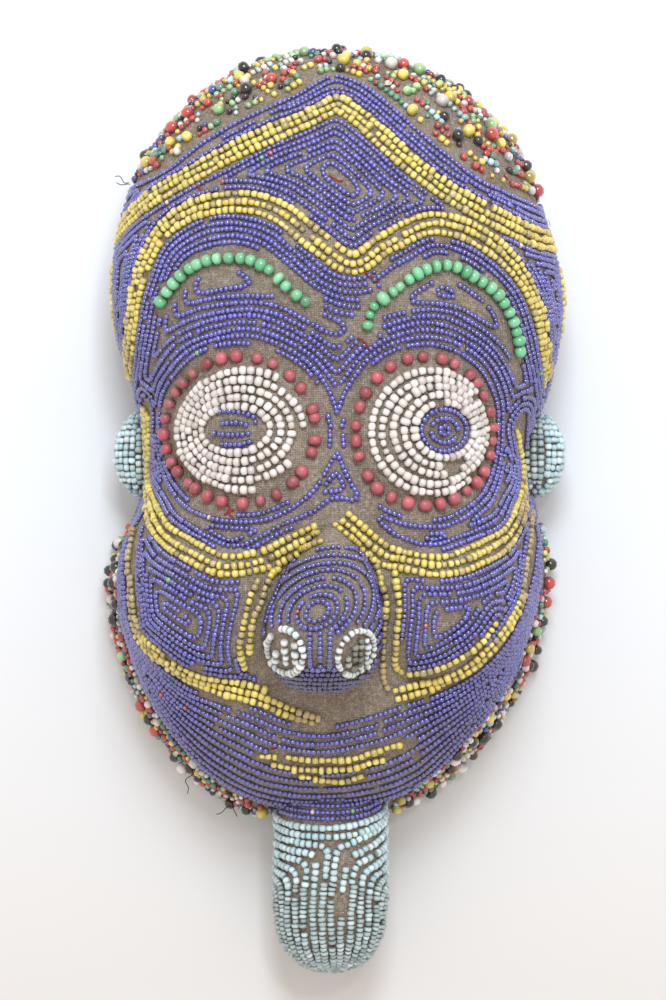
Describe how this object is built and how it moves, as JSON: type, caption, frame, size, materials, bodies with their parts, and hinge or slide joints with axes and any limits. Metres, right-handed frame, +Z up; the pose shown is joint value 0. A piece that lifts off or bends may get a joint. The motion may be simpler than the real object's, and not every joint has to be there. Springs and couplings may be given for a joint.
{
  "type": "beaded mask",
  "caption": "Carved wooden mask with bulging eyes, a big nose, ears and a beard, hollow behind and sewn all over with glass beads on cloth; lies on its rim.",
  "frame": {"origin": "under the middle of the whole mask, on the surface that its rim lies on", "axes": "+Z up, out of the face; +Y towards the top of the head; +X towards the mask's own left, on the right of a viewer"},
  "size_m": [0.214, 0.4236, 0.1447],
  "materials": {
    "carved_wood": "dry, tool-marked, dark with age",
    "cover_cloth": "coarse brown-grey weave, dusty",
    "blue_glass": "glossy opaque seed beads, periwinkle to cobalt",
    "yellow_glass": "glossy opaque beads, mustard yellow",
    "white_glass": "glossy opaque beads, off-white",
    "red_glass": "glossy beads, raspberry red",
    "green_glass": "glossy beads, mint green",
    "pale_blue_glass": "glossy opaque beads, pale sky blue",
    "mixed_glass": "glossy beads of mixed colours, from black to yellow"
  },
  "bodies": {
    "root": {"wooden_shell": "carved_wood", "cloth_cover": "cover_cloth", "crown_band": "yellow_glass", "brow_band": "yellow_glass", "jaw_branch_right": "yellow_glass", "mouth_beads": "yellow_glass", "beard_beads": "pale_blue_glass", "hair_beads": "mixed_glass", "jaw_fringe_left": "mixed_glass", "jaw_fringe_right": "mixed_glass", "side_loop_left": "yellow_glass", "cheek_band_left": "yellow_glass", "nose_line_left": "yellow_glass", "jaw_band_left": "yellow_glass", "eyebrow_left": "green_glass", "eye_ring_left": "red_glass", "eye_white_left": "white_glass", "pupil_left": "blue_glass", "nostril_beads_left": "pale_blue_glass", "ear_beads_left": "pale_blue_glass", "side_loop_right": "yellow_glass", "cheek_band_right": "yellow_glass", "nose_line_right": "yellow_glass", "jaw_band_right": "yellow_glass", "eyebrow_right": "green_glass", "eye_ring_right": "red_glass", "eye_white_right": "white_glass", "pupil_right": "blue_glass", "nostril_beads_right": "pale_blue_glass", "ear_beads_right": "pale_blue_glass"}
  },
  "joints": []
}
